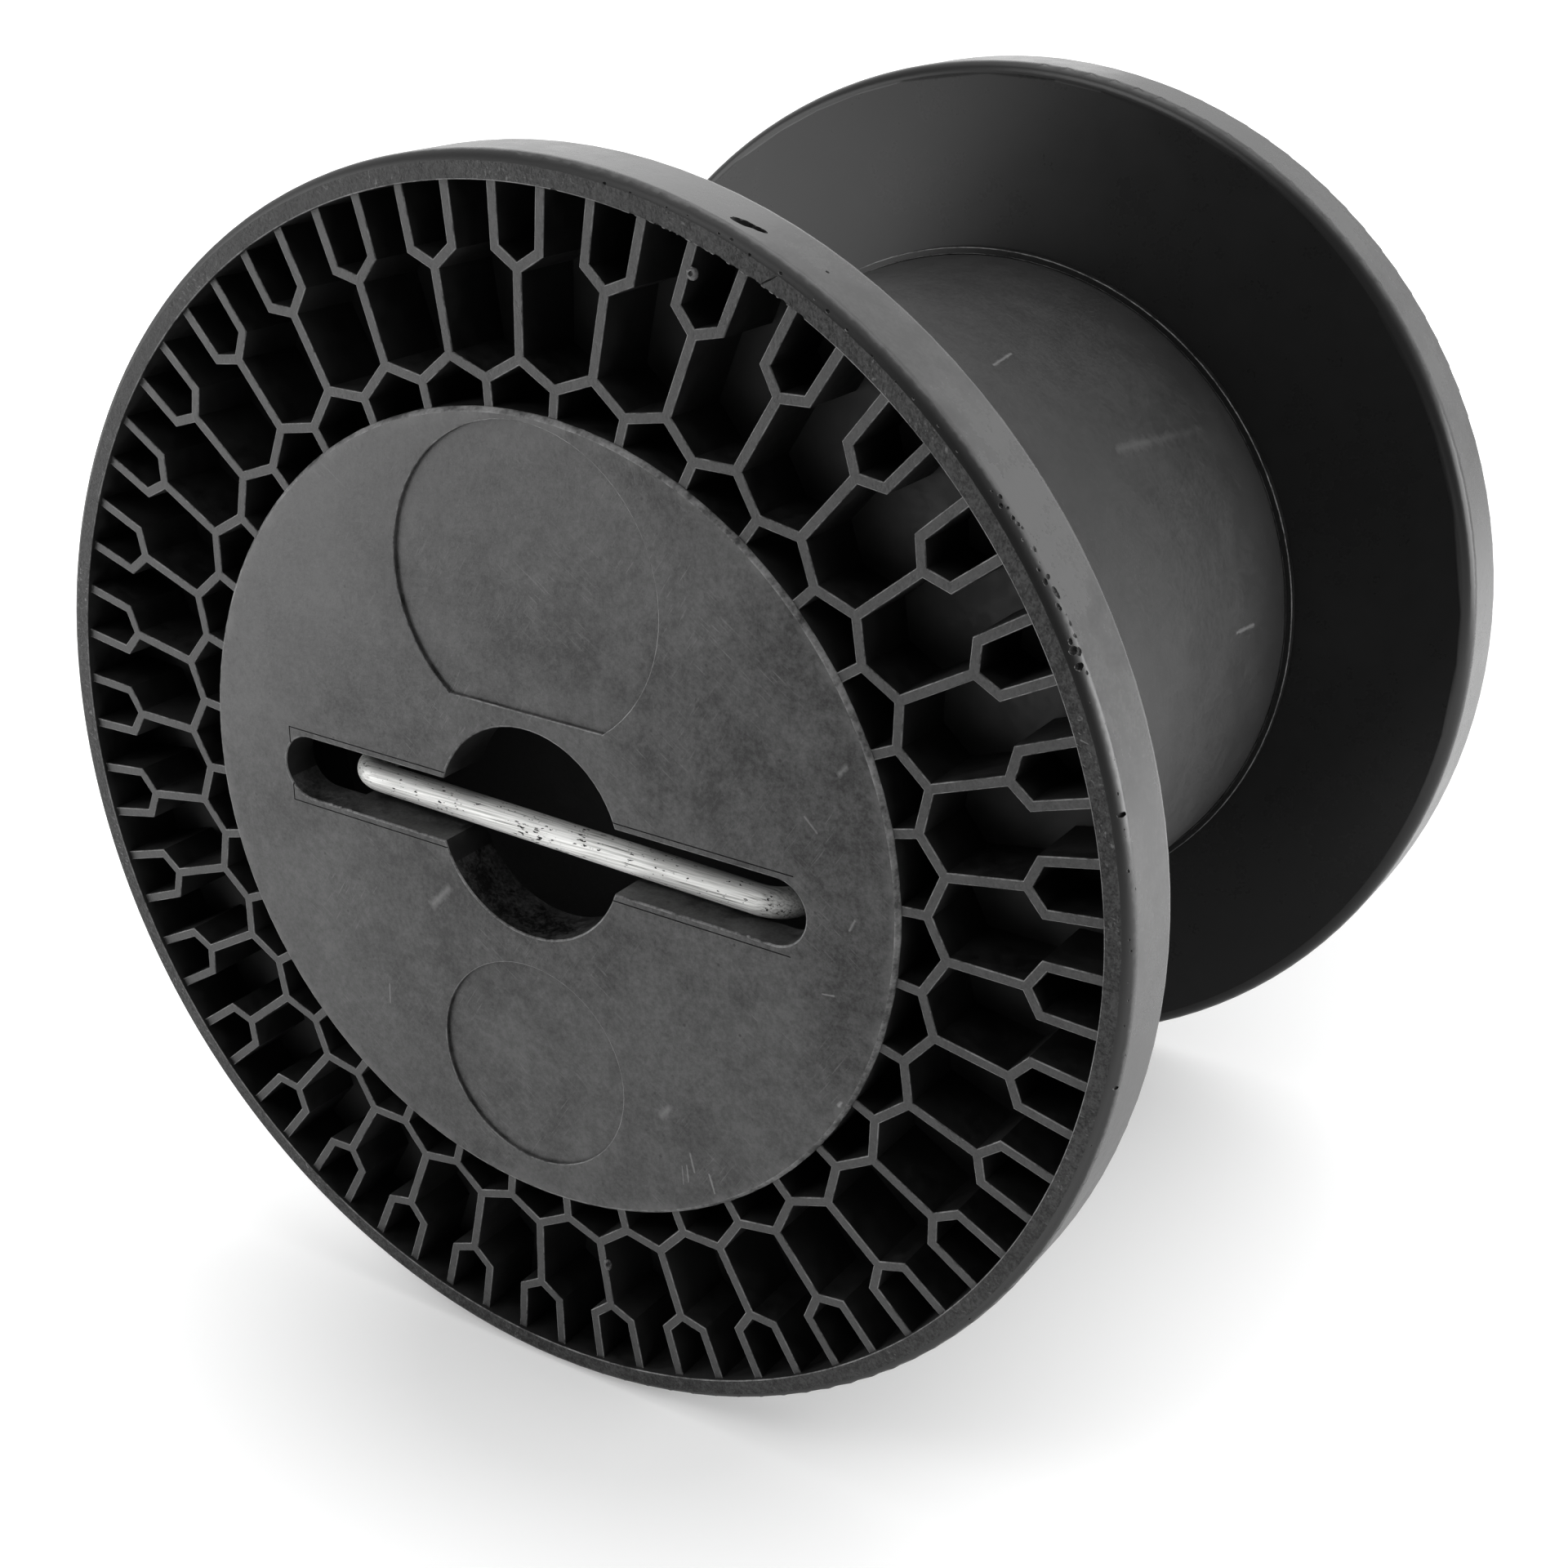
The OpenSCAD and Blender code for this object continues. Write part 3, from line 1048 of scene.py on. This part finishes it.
@dataclass
class WitnessLine:
    """The fine line that the slot's insert leaves on the hub disc, as a tool to cut with.

    It has worn away at the slot's right end. Sizes are the reel's own, before it is turned as it lies.
    """

    left_mm: float = -61.2
    right_mm: float = 60.0
    half_high_mm: float = 8.2
    wide_mm: float = 0.24
    deep_mm: float = 0.25
    lie_deg: float = 1.15

    def build(self, centre: Vector) -> Piece:
        """Models the frame.

        Args:
            centre: Middle of the outer face.

        Returns:
            A thin closed frame, open at its right, that stands half in the hub disc.
        """
        bpy.ops.object.select_all(action="DESELECT")
        bpy.ops.mesh.primitive_plane_add(size=1.0)
        tool = bpy.context.object
        tool.scale = ((self.right_mm - self.left_mm) * MM, 2 * self.half_high_mm * MM, 1.0)
        bpy.ops.object.transform_apply(location=False, rotation=False, scale=True)
        bpy.ops.object.mode_set(mode="EDIT")
        bpy.ops.mesh.select_mode(type="FACE")
        bpy.ops.mesh.select_all(action="SELECT")
        bpy.ops.mesh.inset(thickness=self.wide_mm * MM)
        bpy.ops.mesh.delete(type="FACE")
        bpy.ops.object.mode_set(mode="OBJECT")
        for strip in tool.data.polygons:
            strip.select = strip.center.x > self.half_high_mm * MM
        bpy.ops.object.mode_set(mode="EDIT")
        bpy.ops.mesh.delete(type="FACE")
        bpy.ops.mesh.select_all(action="SELECT")
        bpy.ops.mesh.extrude_region_move(
            TRANSFORM_OT_translate={"value": (0.0, 0.0, 2 * self.deep_mm * MM)})
        bpy.ops.mesh.select_all(action="SELECT")
        bpy.ops.mesh.normals_make_consistent(inside=False)
        bpy.ops.object.mode_set(mode="OBJECT")
        tool.rotation_euler = (math.pi / 2, 0.0, 0.0)
        tool.location = ((self.left_mm + self.right_mm) / 2 * MM, self.deep_mm * MM, 0.0)
        bpy.ops.object.transform_apply(location=True, rotation=True, scale=True)
        tool.rotation_euler = (0.0, math.radians(self.lie_deg), 0.0)
        tool.location = centre
        bpy.ops.object.transform_apply(location=True, rotation=True, scale=True)
        return tool


@dataclass
class BarrelTube:
    """The plain tube that the wire is wound on."""

    node: str = "barrel"
    finish: MouldedPlastic = MouldedPlastic(
        "polypropylene_black_barrel", "#2b2b2b", "#363636", (0.44, 0.52),
        (Layer(34.0, 0.5), Layer(7.0, 0.5), Layer(1.2, 0.7, 0.02), Layer(0.5, 0.5, 0.015)),
        Scratches(0.12, 14.0, 0.35),
        (
            Mark((0.0368, 0.0127, 0.1983), (0.0358, 0.0226, 0.1988), 0.5, 0.4),
            Mark((0.0600, 0.0271, 0.1809), (0.0628, 0.0655, 0.1777), 1.5, 0.04),
            Mark((0.0600, 0.0271, 0.1809), (0.0618, 0.0520, 0.1788), 1.6, 0.03),
            Mark((0.0600, 0.0271, 0.1809), (0.0609, 0.0400, 0.1798), 1.7, 0.04),
            Mark((0.0811, 0.0528, 0.1370), (0.0812, 0.0626, 0.1361), 0.6, 0.35),
        ))

    def dress(self) -> Piece:
        """Gives the tube its finish.

        Returns:
            The tube.
        """
        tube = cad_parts[self.node]
        tube.data.materials.clear()
        tube.data.materials.append(self.finish.build())
        return tube


@dataclass
class CarryBar:
    """The bent steel rod that lies loose in the front hub."""

    node: str = "carry_bar"
    finish: DrawnSteel = DrawnSteel()

    def dress(self) -> Piece:
        """Gives the rod its finish.

        Returns:
            The rod.
        """
        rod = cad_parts[self.node]
        rod.data.materials.clear()
        rod.data.materials.append(self.finish.build())
        return rod


@dataclass(frozen=True)
class Lamp:
    """A square soft lamp: place and size in metres, power in watts."""

    name: str
    place: tuple[float, float, float]
    size: float
    power: float


LAMPS: tuple[Lamp, ...] = (
    Lamp("left_softbox", (-1.2, -0.8, 0.42), 1.0, 7.2),
    Lamp("left_low_lamp", (-0.5, -0.55, 0.05), 0.35, 1.2),
    Lamp("top_softbox", (0.1, 0.2, 1.7), 1.6, 7.0),
    Lamp("front_top_softbox", (-0.3, -1.0, 1.3), 0.7, 4.2),
    Lamp("back_left_softbox", (-0.8, 1.1, 0.7), 0.9, 1.2),
    Lamp("right_fill", (1.2, 0.3, 0.13), 1.0, 16.0),
)


@dataclass(frozen=True)
class FloorLift:
    """How far the floor is lifted to white, by the place on it in metres.

    The camera sees it whitest away from the reel, so that the lamps' shadow stays; the weaker lift near
    the reel also paints a darker shadow round it. Mirrors see a glow that is whitest in front of the reel
    and to the left, a painted reflection that makes the hub's gloss fade to the right.
    """

    middle_x: float = 0.012
    before: Ramp = Ramp(-0.1, -1.1, high=1.3)
    shade: Ramp = Ramp(0.04, 0.157, 0.25, 0.62)
    far: Ramp = Ramp(0.25, 0.75, high=0.4)
    front: Ramp = Ramp(-0.105, -0.15, 0.03, 0.95)
    outer: Ramp = Ramp(0.15, 0.5, 0.03, 0.6)
    ahead: Ramp = Ramp(-0.185, -0.27)
    leftward: Ramp = Ramp(-0.05, -0.35, 0.02, 0.68)

    def build(self, tree: Tree, path: bpy.types.Node) -> Socket:
        """Works out the lift.

        Args:
            tree: Tree of the floor's material.
            path: Its light path node.

        Returns:
            Strength of the lift.
        """
        spot = add_node(tree, "TexCoord", give="Object")
        right, back = (add_node(tree, "SeparateXYZ", {0: spot}, give=axis) for axis in "XY")
        away = add_node(tree, "VectorMath", {0: spot}, operation="LENGTH")

        # Painted shadow: the camera's lift is weaker near a line through middle_x, which darkens the
        # floor round the reel.
        aside = add_node(tree, "Math", {0: right, 1: self.middle_x}, operation="SUBTRACT")
        before = add_node(tree, "MapRange", self.before.of(back))
        beside = add_node(tree, "CombineXYZ", {"X": aside, "Y": before})
        near = add_node(tree, "VectorMath", {0: beside}, operation="LENGTH")
        shade = add_node(tree, "MapRange", self.shade.of(near))
        far = add_node(tree, "MapRange", self.far.of(away))
        seen = add_node(tree, "Math", {0: shade, 1: far}, operation="ADD")

        # Painted reflection: the glow that mirrors see, brightest in front of the reel and to the left.
        front = add_node(tree, "MapRange", self.front.of(back))
        outer = add_node(tree, "MapRange", self.outer.of(away))
        bright = add_node(tree, "Math", {0: front, 1: outer}, operation="MAXIMUM")
        ahead = add_node(tree, "MapRange", self.ahead.of(back))
        leftward = add_node(tree, "MapRange", self.leftward.of(right))
        share = add_node(tree, "Mix", {"Factor": ahead, "A": 1.0, "B": leftward})
        mirrored = add_node(tree, "Math", {0: bright, 1: share}, operation="MULTIPLY")
        return add_node(tree, "Mix", {
            "Factor": path.outputs["Is Camera Ray"], "A": mirrored, "B": seen})


@dataclass
class Studio:
    """Pale floor, soft light and the camera at the photograph's angle."""

    floor_m: float = 14.0
    paper: str = "#e6e6e6"
    lift: FloorLift = FloorLift()
    room: Ramp = Ramp(-0.6, 0.25, 0.112, 0.76)
    room_white: str = "#ffffff"
    lamps: tuple[Lamp, ...] = LAMPS
    lamp_aim: tuple[float, float, float] = (0.0, 0.0, 0.12)
    camera_place: tuple[float, float, float] = (0.2436, -0.4039, 0.29815)
    azimuth_deg: float = 33.558
    elevation_deg: float = 26.928
    lens_mm: float = 50.466
    sensor_mm: float = 36.0
    nearest_m: float = 0.01
    shift: tuple[float, float] = (0.0441, 0.1010)

    def build(self) -> None:
        """Sets up the camera, the floor, the world and the lamps."""
        self._camera()
        self._floor()
        self._world()
        for lamp in self.lamps:
            self._lamp(lamp)
        bpy.context.scene.view_settings.view_transform = "Standard"

    def _camera(self) -> None:
        """Places the camera."""
        lens = bpy.data.cameras.new("camera")
        lens.sensor_width = self.sensor_mm
        lens.lens = self.lens_mm
        lens.shift_x, lens.shift_y = self.shift
        lens.clip_start = self.nearest_m
        eye = bpy.data.objects.new("camera", lens)
        bpy.context.scene.collection.objects.link(eye)
        turn, rise = math.radians(self.azimuth_deg), math.radians(self.elevation_deg)
        back = Vector((
            math.sin(turn) * math.cos(rise), -math.cos(turn) * math.cos(rise), math.sin(rise)))
        right = Vector((0.0, 0.0, 1.0)).cross(back).normalized()
        up = back.cross(right)
        turned = Matrix((right, up, back)).transposed().to_4x4()
        eye.matrix_world = Matrix.Translation(self.camera_place) @ turned
        bpy.context.scene.camera = eye

    def _floor(self) -> None:
        """Lays a white floor that keeps the shadow, with a glow that paints shadow near the reel and
        reflection by place.
        """
        bpy.ops.object.select_all(action="DESELECT")
        bpy.ops.mesh.primitive_plane_add(size=self.floor_m, location=(0.0, 0.0, 0.0))
        floor = bpy.context.object
        floor.name = "floor"
        material, tree = empty_tree("paper_white_matt_floor")
        path = add_node(tree, "LightPath").node
        seen = add_node(tree, "Math", {
            0: path.outputs["Is Camera Ray"], 1: path.outputs["Is Glossy Ray"]},
            operation="MAXIMUM")
        shown = add_node(tree, "Math", {
            0: seen, 1: path.outputs["Is Transmission Ray"]}, operation="MAXIMUM")
        lift = add_node(tree, "Math", {
            0: shown, 1: self.lift.build(tree, path)}, operation="MULTIPLY")
        glow = add_node(tree, "Emission", {"Strength": lift})
        paper = add_node(tree, "BsdfDiffuse", {"Color": linear(self.paper)})
        both = add_node(tree, "AddShader", {0: glow, 1: paper})
        add_node(tree, "OutputMaterial", {"Surface": both})
        floor.data.materials.append(material)

    def _world(self) -> None:
        """Surrounds the object with a white room that lights it less from the camera's side."""
        world = bpy.data.worlds.new("studio")
        bpy.context.scene.world = world
        world.use_nodes = True
        tree = world.node_tree
        tree.nodes.clear()
        toward = add_node(tree, "TexCoord", give="Generated")
        depth = add_node(tree, "SeparateXYZ", {0: toward}, give="Y")
        room = add_node(tree, "MapRange", self.room.of(depth))
        path = add_node(tree, "LightPath").node
        strength = add_node(tree, "Mix", {
            "Factor": path.outputs["Is Camera Ray"], "A": room, "B": 1.0})
        back = add_node(tree, "Background", {
            "Color": linear(self.room_white), "Strength": strength})
        add_node(tree, "OutputWorld", {"Surface": back})

    def _lamp(self, lamp: Lamp) -> None:
        """Hangs a soft lamp that looks at the reel.

        Args:
            lamp: Place, size and power.
        """
        light = bpy.data.lights.new(lamp.name, "AREA")
        light.size = lamp.size
        light.energy = lamp.power
        holder = bpy.data.objects.new(lamp.name, light)
        bpy.context.scene.collection.objects.link(holder)
        place = Vector(lamp.place)
        holder.location = place
        holder.rotation_euler = (Vector(self.lamp_aim) - place).to_track_quat("-Z", "Y").to_euler()


def main() -> None:
    """Builds the pieces in order and reports each one."""
    logging.basicConfig(level=logging.INFO, format="%(name)s: %(message)s")
    Studio().build()
    skins = {skin: finish.build() for skin, finish in FLANGE_SKINS.items()}
    front_skins = {**skins, Skin.ROLLED: FRONT_ROLLED_PLASTIC.build()}
    flanges = (
        FlangeMoulding("front_flange", Side.FRONT, front_skins, lumps=FRONT_LUMPS, witness=WitnessLine()),
        FlangeMoulding("rear_flange", Side.REAR, skins, lumps=REAR_LUMPS),
    )
    for flange in flanges:
        piece = flange.build()
        log.info("%s has %d faces", piece.name, len(piece.data.polygons))
    log.info("%s dressed", BarrelTube().dress().name)
    log.info("%s dressed", CarryBar().dress().name)


if __name__ == "__main__":
    main()
